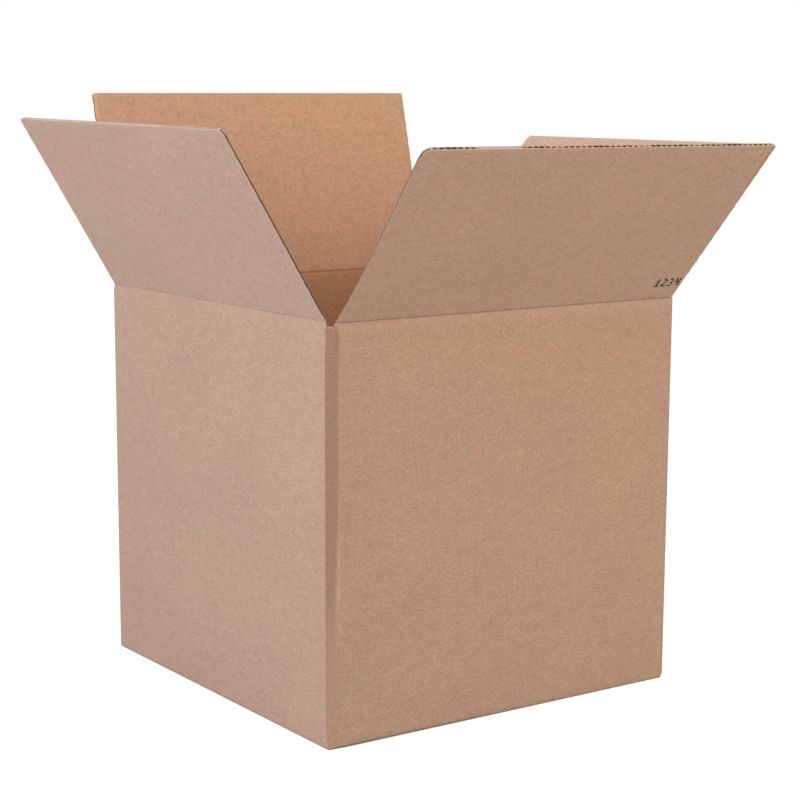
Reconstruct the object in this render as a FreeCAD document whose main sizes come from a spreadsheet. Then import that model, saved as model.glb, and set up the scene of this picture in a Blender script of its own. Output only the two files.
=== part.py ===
import FreeCAD, Part
import math
import os

import Sketcher

# Open cardboard box: a slotted carton of single-wall corrugated board, one folded and glued blank.
# Origin at the centre of the underside, +Z up, millimetres.
# Front wall at -Y, left wall at -X. The left and right walls carry the outer flaps, which fold last
# and so are scored one layer higher than the inner flaps of the front and back walls.
# The four top flaps stand open and turn about their folds. The bottom is folded shut and glued.

SIZES = [
    ("front_length", 470.0, "outside length of the front and back walls"),
    ("side_length", 484.0, "outside length of the left and right walls"),
    ("fold_height", 454.5, "floor to the folds of the left and right flaps"),
    ("board", 4.0, "thickness of the corrugated board"),
    ("layer_gap", 0.3, "room between two boards that lie on each other"),
    ("crease_gap", 0.3, "room between a flap and its wall where the closed fold mitres"),
    ("outer_flap", 233.0, "length of the left and right flaps from the fold"),
    ("bottom_gap", 0.3, "between the two outer bottom flaps, which meet in the middle"),
    ("slot_setback", 5.5, "from a wall's outer corner to the cut side of its flap"),
    ("slot_drop", 1.5, "how far a slot is cut past the folds of the inner flaps"),
    ("corner_inner", 1.0, "inner radius of the upright corner folds"),
    ("crushed_leg", 6.5, "leg of the flattened face along the front left corner"),
    ("corner_foot", 1.5, "floor to the foot of the upright corners"),
    ("bend_outer", 2.5, "outer radius of the bottom folds"),
    ("tab_width", 36.0, "width of the glue tab inside the back right corner"),
    ("tab_slope", 9.0, "how much shorter the tab is at its free side, top and bottom"),
    ("tab_room", 2.0, "room between the tab and the flaps above and below it"),
    ("seam_margin", 6.0, "from the edges of the tab to its glue"),
    ("bead_width", 9.0, "width of a bead of glue between the bottom flaps"),
    ("bead_length", 150.0, "length of a bead of glue between the bottom flaps"),
    ("bead_inset", 40.0, "from the front or back wall to the first bead"),
    ("bead_spread", 110.0, "between the two beads on one inner bottom flap"),
    ("front_angle", 42.6, "front flap, degrees outward from upright"),
    ("left_angle", 31.2, "left flap, degrees outward from upright"),
    ("back_angle", 14.1, "back flap, degrees outward from upright"),
    ("right_angle", 44.3, "right flap, degrees outward from upright"),
    ("sharp_round", 2.0, "radius of a flap corner that is still crisp"),
    ("soft_round", 9.0, "radius of a flap corner that is rubbed round"),
    ("worn_round", 15.0, "radius of the most worn flap corner, front left"),
    ("flute_pitch", 7.5, "from one flute to the next"),
    ("liner", 0.4, "thickness of the facing papers at the flute mouths"),
    ("medium", 0.3, "thickness of the wavy paper at the flute mouths"),
    ("mouth_depth", 3.0, "depth of the open flute mouths along the flap edges"),
]

SHEET = "Sizes"
BOOLEAN_REACH = 20.0  # how far a cutting shape runs past the board that it cuts


class Size:
    """A length or angle with its number and the sheet formula that gives it."""

    def __init__(self, value, text):
        self.value = value
        self.text = text

    def joined(self, other, sign, result):
        return Size(result, "(%s %s %s)" % (self.text, sign, other.text))

    def __add__(self, other):
        other = as_size(other)
        return self.joined(other, "+", self.value + other.value)

    def __sub__(self, other):
        other = as_size(other)
        return self.joined(other, "-", self.value - other.value)

    def __mul__(self, other):
        other = as_size(other)
        return self.joined(other, "*", self.value * other.value)

    def __truediv__(self, other):
        other = as_size(other)
        return self.joined(other, "/", self.value / other.value)

    def __neg__(self):
        return as_size(0.0) - self


def as_size(value):
    if isinstance(value, Size):
        return value
    return Size(float(value), repr(float(value)))


def make_sheet(doc):
    """Writes the driving sizes into the sheet and returns them by name."""
    sheet = doc.addObject("Spreadsheet::Sheet", SHEET)
    sizes = {}
    for row, (name, value, note) in enumerate(SIZES, start=1):
        sheet.set("A%d" % row, name)
        sheet.set("B%d" % row, str(value))
        sheet.setAlias("B%d" % row, name)
        sheet.set("C%d" % row, note)
        sizes[name] = Size(value, "%s.%s" % (SHEET, name))
    return sizes


def bind(thing, prop, size):
    thing.setExpression(prop, size.text)


def origin_plane(body, role):
    for feature in body.Origin.OriginFeatures:
        if feature.Role == role:
            return feature
    raise ValueError("no origin plane " + role)


def pin_to_origin(sketch, line, end, across, up):
    """Ties one end of a line or arc to the sketch's origin, one distance each way."""
    for kind, size in (("DistanceX", across), ("DistanceY", up)):
        if size.value >= 0:
            tie = Sketcher.Constraint(kind, -1, 1, line, end, size.value)
            formula = size
        else:
            tie = Sketcher.Constraint(kind, line, end, -1, 1, -size.value)
            formula = -size
        number = sketch.addConstraint(tie)
        bind(sketch, "Constraints[%d]" % number, formula)


def toward(spot, other):
    """Which way another corner of a right-angled outline lies: -1, 0 or 1 across and up."""
    steps = []
    for here, there in zip(spot[:2], other[:2]):
        change = there.value - here.value
        steps.append(0 if abs(change) < 1e-9 else math.copysign(1, change))
    return steps


def round_corners(loop):
    """Turns each corner that has a radius into the two ends of its arc."""
    ends = []
    for number, corner in enumerate(loop):
        if len(corner) == 2:
            ends.append((corner[0], corner[1], None))
            continue
        across, up, radius = corner
        back = toward(corner, loop[number - 1])
        ahead = toward(corner, loop[(number + 1) % len(loop)])
        ends.append((across + radius * back[0], up + radius * back[1], radius))
        ends.append((across + radius * ahead[0], up + radius * ahead[1], None))
    return ends


def arc_between(start, end, radius, turn):
    """The quarter arc from one point to the next, which turns left at 1 and right at -1."""
    chord = end - start
    centre = (start + end) * 0.5 + FreeCAD.Vector(-chord.y, chord.x, 0) * (0.5 * turn)
    first, last = (start, end) if turn > 0 else (end, start)
    angles = [math.atan2(spot.y - centre.y, spot.x - centre.x) for spot in (first, last)]
    circle = Part.Circle(centre, FreeCAD.Vector(0, 0, 1), radius.value)
    return Part.ArcOfCircle(circle, *angles)


def corner_turn(before, start, end):
    """1 where the outline turns left at a rounded corner, -1 where it turns right."""
    into, along = start - before, end - start
    return 1 if into.x * along.y - into.y * along.x > 0 else -1


def draw(body, name, role, loops, height=None):
    """Draws closed outlines on an origin plane of the body, or on a plane at a height above it."""
    sketch = body.newObject("Sketcher::SketchObject", name)
    sketch.AttachmentSupport = [(origin_plane(body, role), "")]
    sketch.MapMode = "FlatFace"
    if height is not None:
        bind(sketch, "AttachmentOffset.Base.z", height)
    for loop in loops:
        draw_loop(sketch, round_corners(loop))
    return sketch


def draw_loop(sketch, ends):
    """Adds one outline of lines and quarter arcs, with every end tied to the origin."""
    first = sketch.GeometryCount
    spots = [FreeCAD.Vector(across.value, up.value, 0) for across, up, radius in ends]
    leaves, arrives = [], []
    for number, (across, up, radius) in enumerate(ends):
        start, end = spots[number], spots[(number + 1) % len(ends)]
        turn = 1
        if radius is None:
            sketch.addGeometry(Part.LineSegment(start, end))
        else:
            turn = corner_turn(spots[number - 1], start, end)
            sketch.addGeometry(arc_between(start, end, radius, turn))
            tie = Sketcher.Constraint("Radius", first + number, radius.value)
            bind(sketch, "Constraints[%d]" % sketch.addConstraint(tie), radius)
        leaves.append(1 if turn > 0 else 2)
        arrives.append(2 if turn > 0 else 1)
    for number, (across, up, radius) in enumerate(ends):
        after = (number + 1) % len(ends)
        tie = Sketcher.Constraint(
            "Coincident", first + number, arrives[number], first + after, leaves[after]
        )
        sketch.addConstraint(tie)
        pin_to_origin(sketch, first + number, leaves[number], across, up)


def rectangle(low_across, low_up, high_across, high_up):
    return [
        (low_across, low_up),
        (high_across, low_up),
        (high_across, high_up),
        (low_across, high_up),
    ]


def extrude(body, kind, name, sketch, length, symmetric=False, backward=False):
    """Pads or pockets a sketch and makes sure that the body's volume changed."""
    before = body.Shape.Volume if body.Tip else 0.0
    feature = body.newObject("PartDesign::" + kind, name)
    feature.Profile = sketch
    bind(feature, "Length", length)
    if symmetric:
        feature.SideType = "Symmetric"
    feature.Reversed = backward
    sketch.Document.recompute()
    change = body.Shape.Volume - before
    if (kind == "Pad" and change <= 0) or (kind == "Pocket" and change >= 0):
        raise ValueError(name + " changed nothing")
    return feature


def derived(size):
    """Planes and lengths that several sub-parts share, worked out from the sheet."""
    spots = dict(size)
    spots["half_x"] = size["front_length"] / 2
    spots["half_y"] = size["side_length"] / 2
    spots["layer"] = size["board"] + size["layer_gap"]
    spots["inner_fold_height"] = size["fold_height"] - spots["layer"]
    spots["inner_flap"] = size["outer_flap"] + spots["layer"]
    spots["outer_bottom"] = spots["half_x"] - size["bottom_gap"] / 2
    spots["slot_x"] = spots["half_x"] - size["slot_setback"]
    spots["slot_y"] = spots["half_y"] - size["slot_setback"]
    spots["mitre_drop"] = size["crease_gap"] / math.sqrt(2.0)
    spots["tab_face"] = spots["half_x"] - spots["layer"]
    spots["corner_outer"] = size["corner_inner"] + size["board"]
    spots["seat"] = spots["layer"] + size["board"] + size["tab_room"]
    spots["slot_floor"] = spots["inner_fold_height"] - size["slot_drop"]
    return spots


def wall_loop(at):
    """Plan of the walls: one open strip that ends in the tab inside the back right corner."""
    x, y, board = at["half_x"], at["half_y"], at["board"]
    tab, tab_end = at["tab_face"], at["half_y"] - at["tab_width"]
    outer, inner, leg = at["corner_outer"], at["corner_inner"], at["crushed_leg"]
    return [
        (x, y),
        (x, -y, outer),
        (leg - x, -y),
        (-x, leg - y),
        (-x, y, outer),
        (tab, y, outer),
        (tab, tab_end),
        (tab - board, tab_end),
        (tab - board, y - board, inner),
        (board - x, y - board, inner),
        (board - x, board - y, inner),
        (x - board, board - y, inner),
        (x - board, y),
    ]


def open_foot(body, at):
    """Ends the walls above the bottom folds, and leaves the four corners standing."""
    reach = BOOLEAN_REACH
    near_x, near_y = at["slot_x"], at["slot_y"]
    far_x, far_y = at["half_x"] + reach, at["half_y"] + reach
    cross = [
        (near_x, -far_y),
        (near_x, -near_y),
        (far_x, -near_y),
        (far_x, near_y),
        (near_x, near_y),
        (near_x, far_y),
        (-near_x, far_y),
        (-near_x, near_y),
        (-far_x, near_y),
        (-far_x, -near_y),
        (-near_x, -near_y),
        (-near_x, -far_y),
    ]
    sketch = draw(body, "FootPlan", "XY_Plane", [cross], at["seat"])
    extrude(body, "Pocket", "FootRoom", sketch, at["seat"] + reach)


def cut_slots(body, at):
    """Cuts the four top corners down to the bottom of the slots between the flaps."""
    reach = BOOLEAN_REACH
    low_x, high_x = at["slot_x"], at["half_x"] + reach
    low_y, high_y = at["slot_y"], at["half_y"] + reach
    corners = [
        rectangle(low_x, low_y, high_x, high_y),
        rectangle(-high_x, low_y, -low_x, high_y),
        rectangle(-high_x, -high_y, -low_x, -low_y),
        rectangle(low_x, -high_y, high_x, -low_y),
    ]
    sketch = draw(body, "SlotPlan", "XY_Plane", corners, at["slot_floor"])
    depth = at["layer"] + at["slot_drop"] + reach
    extrude(body, "Pocket", "Slots", sketch, depth, backward=True)


def mitre_loop(half, board, height, sign):
    """What is cut off the top of a wall, seen along the fold: above a 45 degree mitre."""
    reach = BOOLEAN_REACH
    points = [
        (half, height),
        (half - board, height - board),
        (half - board, height + reach),
        (half, height + reach),
    ]
    return [(across if sign > 0 else -across, up) for across, up in points]


def mitre_walls(body, at):
    """Mitres the wall tops, where each closed flap meets its wall."""
    side_height = at["fold_height"] - at["mitre_drop"]
    front_height = at["inner_fold_height"] - at["mitre_drop"]
    side = [mitre_loop(at["half_x"], at["board"], side_height, sign) for sign in (1, -1)]
    front = [mitre_loop(at["half_y"], at["board"], front_height, sign) for sign in (1, -1)]
    sketch = draw(body, "SideMitre", "XZ_Plane", side)
    extrude(body, "Pocket", "SideTops", sketch, at["slot_y"] * 2, symmetric=True)
    sketch = draw(body, "FrontMitre", "YZ_Plane", front)
    extrude(body, "Pocket", "FrontTops", sketch, at["slot_x"] * 2, symmetric=True)


def trim_tab(body, at):
    """Slopes the tab's two ends and keeps it clear of the flaps that close over it."""
    reach = BOOLEAN_REACH
    wall, near = at["half_y"] + reach, at["half_y"] - at["board"]
    free = at["half_y"] - at["tab_width"] - at["layer_gap"]
    top = at["inner_fold_height"] - at["board"] - at["tab_room"]
    above = [
        (near, top),
        (free, top - at["tab_slope"]),
        (free, at["fold_height"] + reach),
        (near, at["fold_height"] + reach),
    ]
    below = [
        (wall, at["seat"]),
        (near, at["seat"]),
        (free, at["seat"] + at["tab_slope"]),
        (free, -at["seat"]),
        (wall, -at["seat"]),
    ]
    start = at["tab_face"] + at["layer_gap"] / 2
    sketch = draw(body, "TabEnds", "YZ_Plane", [above, below], start)
    extrude(body, "Pocket", "TabTrim", sketch, at["layer"] + at["corner_inner"])


def wall_foot_loop(half, length, low, at, sign):
    """A wall's foot and the bottom flap that it turns into, seen along the fold."""
    board = at["board"]
    corners = [
        (half, low, at["bend_outer"]),
        (half, at["seat"]),
        (half - board, at["seat"]),
        (half - board, low + board),
        (half - length, low + board),
        (half - length, low),
    ]
    return corners if sign > 0 else [(-corner[0],) + corner[1:] for corner in corners]


def fold_bottom(body, at):
    """Turns the bottom flaps in under the box: the front and back ones first, the sides below them."""
    zero, lift = as_size(0.0), at["layer"]
    side = [wall_foot_loop(at["half_x"], at["outer_bottom"], zero, at, sign) for sign in (1, -1)]
    front = [wall_foot_loop(at["half_y"], at["inner_flap"], lift, at, sign) for sign in (1, -1)]
    sketch = draw(body, "SideFeet", "XZ_Plane", side)
    extrude(body, "Pad", "OuterBottom", sketch, at["slot_y"] * 2, symmetric=True)
    sketch = draw(body, "FrontFeet", "YZ_Plane", front)
    extrude(body, "Pad", "InnerBottom", sketch, at["slot_x"] * 2, symmetric=True)


def make_box_body(doc, at):
    """The folded blank without its top flaps: four walls, glue tab and bottom flaps."""
    body = doc.addObject("PartDesign::Body", "BoxBody")
    body.Label = "box_body"
    plan = draw(body, "WallPlan", "XY_Plane", [wall_loop(at)], at["corner_foot"])
    extrude(body, "Pad", "Walls", plan, at["fold_height"] - at["corner_foot"])
    open_foot(body, at)
    cut_slots(body, at)
    mitre_walls(body, at)
    trim_tab(body, at)
    fold_bottom(body, at)
    return body


def flute_mouths(pitch, liner, medium, board):
    """The two hollows of one flute at a cut edge, either side of the wavy paper."""
    half = pitch / 2
    lower = [(medium, liner), (pitch - medium, liner), (half, board - liner - medium)]
    upper = [
        (half + medium, board - liner),
        (pitch, liner + medium),
        (pitch + half - medium, board - liner),
    ]
    return [lower, upper]


def make_flap(doc, at, spec):
    """One top flap, drawn upright on its fold and then turned out about it."""
    body = doc.addObject("PartDesign::Body", spec["name"])
    body.Label = spec["label"]
    half, length, board = spec["half_width"], spec["length"], at["board"]
    left, right = spec["rounds"]
    zero = as_size(0.0)
    outline = [(-half, zero), (half, zero), (half, length, right), (-half, length, left)]
    panel = draw(body, "Panel", "XZ_Plane", [outline])
    extrude(body, "Pad", "Board", panel, board, backward=True)
    drop = at["mitre_drop"]
    root = [
        (zero, drop),
        (board, board + drop),
        (board, -board),
        (zero, -board),
    ]
    sketch = draw(body, "RootMitre", "YZ_Plane", [root])
    extrude(body, "Pocket", "Root", sketch, half * 2 + BOOLEAN_REACH, symmetric=True)
    open_flutes(body, at, half, length, left, right)
    turn = "create(<<rotation>>; %s; 0; %s)" % (spec["facing"], spec["angle"].text)
    place = "create(<<vector>>; %s; %s; %s)" % tuple(part.text for part in spec["fold"])
    body.setExpression("Placement", "create(<<placement>>; %s; %s)" % (place, turn))
    return body


def open_flutes(body, at, half, length, left, right):
    """Opens the flutes along the flap's free edge, between its two corner roundings."""
    pitch = at["flute_pitch"]
    straight = half * 2 - left - right
    count = int(straight.value / pitch.value) - 1
    start = left - half + (straight - pitch * (count + 0.5)) / 2
    mouths = flute_mouths(pitch, at["liner"], at["medium"], at["board"])
    loops = [[(start + across, up) for across, up in loop] for loop in mouths]
    sketch = draw(body, "FluteMouths", "XY_Plane", loops, length)
    pocket = extrude(body, "Pocket", "Flute", sketch, at["mouth_depth"])
    row = body.newObject("PartDesign::LinearPattern", "FluteRow")
    row.Originals = [pocket]
    row.Direction = (sketch, ["H_Axis"])
    row.Occurrences = count
    bind(row, "Length", pitch * (count - 1))
    body.Tip = row
    body.Document.recompute()


def flap_specs(at):
    """Where each top flap folds, which way it faces, how far it is open and how worn its corners are."""
    zero = as_size(0.0)
    x, y = at["half_x"], at["half_y"]
    high, low = at["fold_height"], at["inner_fold_height"]
    sharp, soft, worn = at["sharp_round"], at["soft_round"], at["worn_round"]
    rows = [
        ("front", 0, (zero, -y, low), at["slot_x"], at["inner_flap"], (worn, sharp)),
        ("left", -90, (-x, zero, high), at["slot_y"], at["outer_flap"], (sharp, soft)),
        ("back", 180, (zero, y, low), at["slot_x"], at["inner_flap"], (sharp, sharp)),
        ("right", 90, (x, zero, high), at["slot_y"], at["outer_flap"], (sharp, soft)),
    ]
    return [
        {
            "name": side.capitalize() + "Flap",
            "label": side + "_flap",
            "facing": facing,
            "fold": fold,
            "half_width": half_width,
            "length": length,
            "rounds": rounds,
            "angle": at[side + "_angle"],
        }
        for side, facing, fold, half_width, length, rounds in rows
    ]


def make_seam_glue(doc, at):
    """The film of glue between the tab and the right wall."""
    glue = doc.addObject("Part::Box", "SeamGlue")
    glue.Label = "seam_glue"
    margin = at["seam_margin"]
    bottom = at["layer"] + at["board"] + at["tab_room"] + at["tab_slope"] + margin
    top = at["inner_fold_height"] - at["board"] - at["tab_room"] - at["tab_slope"] - margin
    bind(glue, "Length", at["layer_gap"])
    bind(glue, "Width", at["tab_width"] - at["corner_outer"] - margin * 2)
    bind(glue, "Height", top - bottom)
    bind(glue, "Placement.Base.x", at["tab_face"])
    bind(glue, "Placement.Base.y", at["half_y"] - at["tab_width"] + margin)
    bind(glue, "Placement.Base.z", bottom)
    return glue


def make_bottom_glue(doc, at):
    """Beads of glue that hold the inner bottom flaps down on the outer ones."""
    beads = []
    for side in (-1, 1):
        for number in range(2):
            for end in (-1, 1):
                bead = doc.addObject("Part::Box", "Bead")
                bind(bead, "Length", at["bead_length"])
                bind(bead, "Width", at["bead_width"])
                bind(bead, "Height", at["layer_gap"])
                inset = at["half_y"] - at["board"] - at["bead_inset"] - at["bead_spread"] * number
                low_y = inset - at["bead_width"] if side > 0 else -inset
                middle = at["half_x"] / 2
                low_x = middle - at["bead_length"] / 2 if end > 0 else -middle - at["bead_length"] / 2
                bind(bead, "Placement.Base.x", low_x)
                bind(bead, "Placement.Base.y", low_y)
                bind(bead, "Placement.Base.z", at["board"])
                beads.append(bead)
    glue = doc.addObject("Part::Compound", "BottomGlue")
    glue.Label = "bottom_glue"
    glue.Links = beads
    return glue


def check(doc, pieces):
    """Stops if any object failed or any piece has no sound shape."""
    for thing in doc.Objects:
        if "Invalid" in thing.State or "Error" in thing.State:
            raise ValueError("%s failed: %s" % (thing.Name, thing.State))
    for piece in pieces:
        if piece.Shape.isNull() or not piece.Shape.isValid():
            raise ValueError(piece.Label + " has no sound shape")


def main():
    doc = FreeCAD.newDocument("OpenBox")
    at = derived(make_sheet(doc))
    doc.recompute()
    pieces = [make_box_body(doc, at)]
    pieces += [make_flap(doc, at, spec) for spec in flap_specs(at)]
    pieces += [make_seam_glue(doc, at), make_bottom_glue(doc, at)]
    doc.recompute()
    check(doc, pieces)
    os.makedirs("parts", exist_ok=True)
    for piece in pieces:
        piece.Shape.exportStep("parts/%s.step" % piece.Label)
        box = piece.Shape.BoundBox
        print(
            "%-12s solids %d volume %.0f  x %.1f..%.1f  y %.1f..%.1f  z %.1f..%.1f"
            % (
                piece.Label,
                len(piece.Shape.Solids),
                piece.Shape.Volume,
                box.XMin,
                box.XMax,
                box.YMin,
                box.YMax,
                box.ZMin,
                box.ZMax,
            )
        )


main()
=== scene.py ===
import math

import bpy
import numpy as np
from mathutils import Matrix, Vector


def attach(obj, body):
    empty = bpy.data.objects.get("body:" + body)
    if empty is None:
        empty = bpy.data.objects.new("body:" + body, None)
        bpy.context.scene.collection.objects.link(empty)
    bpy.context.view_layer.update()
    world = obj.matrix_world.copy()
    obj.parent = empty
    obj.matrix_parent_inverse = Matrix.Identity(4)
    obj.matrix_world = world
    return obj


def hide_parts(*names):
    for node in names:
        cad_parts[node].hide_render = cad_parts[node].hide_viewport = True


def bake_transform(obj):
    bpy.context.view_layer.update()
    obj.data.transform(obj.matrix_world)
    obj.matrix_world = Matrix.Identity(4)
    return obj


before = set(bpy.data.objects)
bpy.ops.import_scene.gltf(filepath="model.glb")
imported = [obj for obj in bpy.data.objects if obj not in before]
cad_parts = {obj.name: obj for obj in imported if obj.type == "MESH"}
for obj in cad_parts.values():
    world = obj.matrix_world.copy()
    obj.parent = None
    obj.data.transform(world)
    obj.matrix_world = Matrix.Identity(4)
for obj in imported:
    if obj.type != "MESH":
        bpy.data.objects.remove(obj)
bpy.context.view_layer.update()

# Open cardboard box: the looks of the folded blank, its four open flaps and the stamp on one of
# them. Lengths are in millimetres until a mesh is made. Sheet coordinates run along the blank: u
# goes round the walls, clockwise from above, from the cut end at the back right corner; v is up
# the walls and on into the flaps; w goes through the board, from 0 on the outside to BOARD on the
# inside.

MM = 0.001

# The blank: a layer is one board and the gap to the next; outer flaps lie over the inner ones.
# CORNER_OUTER and CORNER_INNER are radii, and the ear is what stands up at the front right corner
# between the slots.
FRONT_LENGTH = 470.0
SIDE_LENGTH = 484.0
HALF_FRONT, HALF_SIDE = FRONT_LENGTH / 2, SIDE_LENGTH / 2
FOLD_HEIGHT = 454.5
BOARD = 4.0
LAYER = 4.3
INNER_FOLD = FOLD_HEIGHT - LAYER
OUTER_FLAP = 233.0
INNER_FLAP = OUTER_FLAP + LAYER
OUTER_BOTTOM = 234.85
SLOT_FLOOR = INNER_FOLD - 1.5
CORNER_OUTER = 5.0
CORNER_INNER = 1.0
CORNER_EAR = 2.5
TAB_WIDTH = 36.0
TAB_SLOPE = 9.0
TAB_TOP = INNER_FOLD - BOARD - 2.0
TAB_BOTTOM = LAYER + BOARD + 2.0

# How far the front right corner stands out at the top
SWAY = 2.2

# The foot: its rows of points, the seam above which the walls are built in one, the setback of
# the bottom flaps from the corners, and the rounding of the front right corner's foot
FOOT_ROWS = [1.5, 2.4, 3.5, 5.0, 8.0]
FOOT_SEAM = 12.0
BOTTOM_SETBACK = 5.5
FOOT_ROUND = 12.0

# The upright corner at the front left is pressed flat between two lines. A leg is how far back a
# line lies along its wall: its value at the foot, its change over a range of heights, and the
# range in which both lines run to the slots. A leg below the least presses nothing, nothing is
# pressed beyond the reach, and some thickness of the board is left where it is pressed.
FRONT_LEG, FRONT_LEG_DROP, FRONT_LEG_RANGE = 28.0, 15.0, (20.0, 180.0)
LEFT_LEG, LEFT_LEG_GROWTH, LEFT_LEG_RANGE = 3.5, 4.0, (0.0, 25.0)
TO_SLOTS_RANGE = (400.0, 440.0)
LEAST_LEG = 0.5
CRUSH_REACH = 40.0
CRUSHED_BOARD = 2.0

# The bottom folds in rows: v, depth and height of the outside, depth and height of the inside
OUTER_BOTTOM_BEND = [
    (5.0, 0.0, 5.0, 4.0, 6.0),
    (2.5, 0.0, 2.5, 4.0, 4.7),
    (1.3, 0.33, 1.25, 4.1, 4.3),
    (0.2, 1.25, 0.33, 4.3, 4.1),
    (-1.0, 2.5, 0.0, 4.7, 4.0),
]
INNER_BOTTOM_BEND = [
    (7.0, 0.0, 7.5, 4.0, 9.6),
    (5.0, 0.25, 5.0, 4.05, 8.8),
    (3.4, 1.2, 3.1, 4.2, 8.45),
    (2.0, 2.7, 2.2, 4.5, 8.3),
    (0.4, 4.2, 2.9, 5.0, 8.3),
    (-1.2, 5.1, 4.1, 5.6, 8.3),
]
BOTTOM_BEND_END = 8.0

# How far the inner bottom folds have sunk: the front's at its left end and what it gains over a
# share of its length, and the back's; and where along v they do
FRONT_SINK, FRONT_SINK_GROWTH, FRONT_SINK_SHARE = 0.3, 1.8, 0.75
BACK_SINK = 0.5
SINK_MIDDLE, SINK_WIDTH = 2.4, 6.0

# The board's layers and its cut edges. Depths of the hollow: in an edge across the flutes of a flap
# and of a wall, and in a side edge, which is worn below a height. Then how far a pressed stretch
# is shut and over what length it fades, and the mouths of the bottom flaps.
LINER = 0.42
FLUTE_PITCH = 7.5
FLUTE_STEPS = 14
MOUTH_DEPTH = 9.0
WALL_MOUTH = 4.0
LIP_DEPTH = 0.15
LEAST_GAP = 0.04
SIDE_GROOVE = 2.2
WORN_GROOVE = 0.6
WORN_BELOW = FOLD_HEIGHT + 9.0
SHUT_SHARE, SHUT_FADE = 0.95, 8.0
BOTTOM_MOUTH, BOTTOM_LIP_INSET = 1.4, 3.0

# An edge that slants across the sheet is closed: how fast its hollow fades, and from which slant
SLANT_FADE = 8.0
SLANT_CLOSED = 0.06

# The mesh: size of its cells, columns of points close to a slot or to a flap's side, the least
# distance that tells two points apart, the angle from which an edge is sharp, and what a face
# shows, as the number of its material on the piece
CELL = 12.0
SLOT_COLUMNS = [CORNER_OUTER, BOTTOM_SETBACK, 7.0, 7.6, 8.4, 9.5, 11.0, 12.5, 14.0, 16.0, 19.0]
SIDE_COLUMNS = [0.0, 1.0, 2.2, 3.6, 5.0, 7.0]
APART = 0.01
SHARP_ANGLE = math.radians(32.0)
OUTSIDE, INSIDE, CUT, HOLLOW, GROOVE = 0, 1, 2, 3, 4

# Folds of the top flaps: how far the bend reaches down and up, and two reaches for a blend between
# the bodies, which is not made.
# Then the steps round a flap's corner and the depth of the wear on its side edges.
BEND_BELOW = 1.3
BEND_ABOVE = 3.0
BLEND_BELOW = 1.4
BLEND_ABOVE = 6.5
ROUND_STEPS = 7
RAGGED_DEPTH = 0.28

# The walls in sheet order: name, start corner, way along, way inwards, length
WALLS = [
    ("right", (HALF_FRONT, HALF_SIDE), (0, -1), (-1, 0), SIDE_LENGTH),
    ("front", (HALF_FRONT, -HALF_SIDE), (-1, 0), (0, 1), FRONT_LENGTH),
    ("left", (-HALF_FRONT, -HALF_SIDE), (0, 1), (1, 0), SIDE_LENGTH),
    ("back", (-HALF_FRONT, HALF_SIDE), (1, 0), (0, -1), FRONT_LENGTH - LAYER),
    ("tab", (HALF_FRONT - LAYER, HALF_SIDE), (0, -1), (-1, 0), TAB_WIDTH),
]
STARTS = np.concatenate([[0.0], np.cumsum([wall[4] for wall in WALLS])])
TAB_START = STARTS[4]
CORNER_A = STARTS[2]

# From a wall's corner to its slot, at the low and high end of u
SETBACKS = {"right": (8.5, 5.5), "front": (4.3, 7.6), "left": (6.4, 5.5), "back": (5.5, 5.5)}

# The top flaps: fold height, length, degrees open, radius of the corner at the low and high end of
# u, and how the real flap departs from flat at those two corners: along the fold, up the flap and
# outwards
TOP_FLAPS = {
    "front": (INNER_FOLD, INNER_FLAP, 42.6, (2.0, 15.0), (1.5, 3.0, -2.0), (0.0, -2.4, -11.0)),
    "left": (FOLD_HEIGHT, OUTER_FLAP, 31.2, (9.0, 2.0), (0.0, -6.3, 0.8), (-4.5, -2.7, 0.0)),
    "back": (INNER_FOLD, INNER_FLAP, 14.1, (2.0, 2.0), (0.0, -0.2, 0.0), (1.2, -0.2, 0.0)),
    "right": (FOLD_HEIGHT, OUTER_FLAP, 44.3, (6.0, 2.0), (4.0, 0.0, 0.0), (0.0, 0.0, 0.0)),
}

# How far the bend of each flap lies above the line it turns about
FOLD_LIFT = {"front": 2.0, "left": -1.0, "back": 2.0, "right": 0.0}

# The slots crush the board at a flap's sides: the share of its thickness left there, at the low and
# high end of u, and how far that reaches along the fold and up from the slot's floor
PINCH = {"front": (0.35, 0.2), "left": (0.4, 0.55), "back": (0.6, 0.6), "right": (0.6, 0.6)}
PINCH_REACH = 6.0
PINCH_RISE = 5.5

# The free edges: height of the flutes' open mouths, and the stretches (from the middle) that are
# pressed shut
MOUTHS = {
    "front": (2.5, [(102.0, 166.0), (-60.0, -48.0)]),
    "left": (0.9, [(-120.0, 230.0)]),
    "back": (1.3, [(-30.0, 40.0)]),
    "right": (1.3, [(60.0, 110.0)]),
}


def smooth(low, high, value):
    part = min(max((value - low) / (high - low), 0.0), 1.0)
    return part * part * (3.0 - 2.0 * part)


def bump(centre, width, value):
    """1 at the centre, fading smoothly to 0 at the width on either side."""
    return 1.0 - smooth(0.0, width, abs(value - centre))


# ---- Where a point of the sheet lies ----


def wall_number(u):
    return int(np.clip(np.searchsorted(STARTS, u, side="right") - 1, 0, len(WALLS) - 1))


def plan(u):
    """The outside and inside of the walls in plan at a place along the blank."""
    number = wall_number(u)
    start, along, inward = (np.array(part, float) for part in WALLS[number][1:4])
    length = WALLS[number][4]
    t = u - STARTS[number]
    corner = None
    if t < CORNER_OUTER and number > 0:
        before, after, corner, turn = number - 1, number, start, 0.5 + t / (2 * CORNER_OUTER)
    elif length - t < CORNER_OUTER and number < len(WALLS) - 1:
        before, after, corner = number, number + 1, np.array(WALLS[number + 1][1], float)
        turn = 0.5 - (length - t) / (2 * CORNER_OUTER)
    if corner is None:
        outside = start + along * t
        return outside, outside + inward * BOARD
    first, second = (-np.array(WALLS[side][3], float) for side in (before, after))
    centre = corner - (first + second) * CORNER_OUTER
    ray = first * math.cos(turn * math.pi / 2) + second * math.sin(turn * math.pi / 2)
    return centre + ray * CORNER_OUTER, centre + ray * CORNER_INNER


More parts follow.
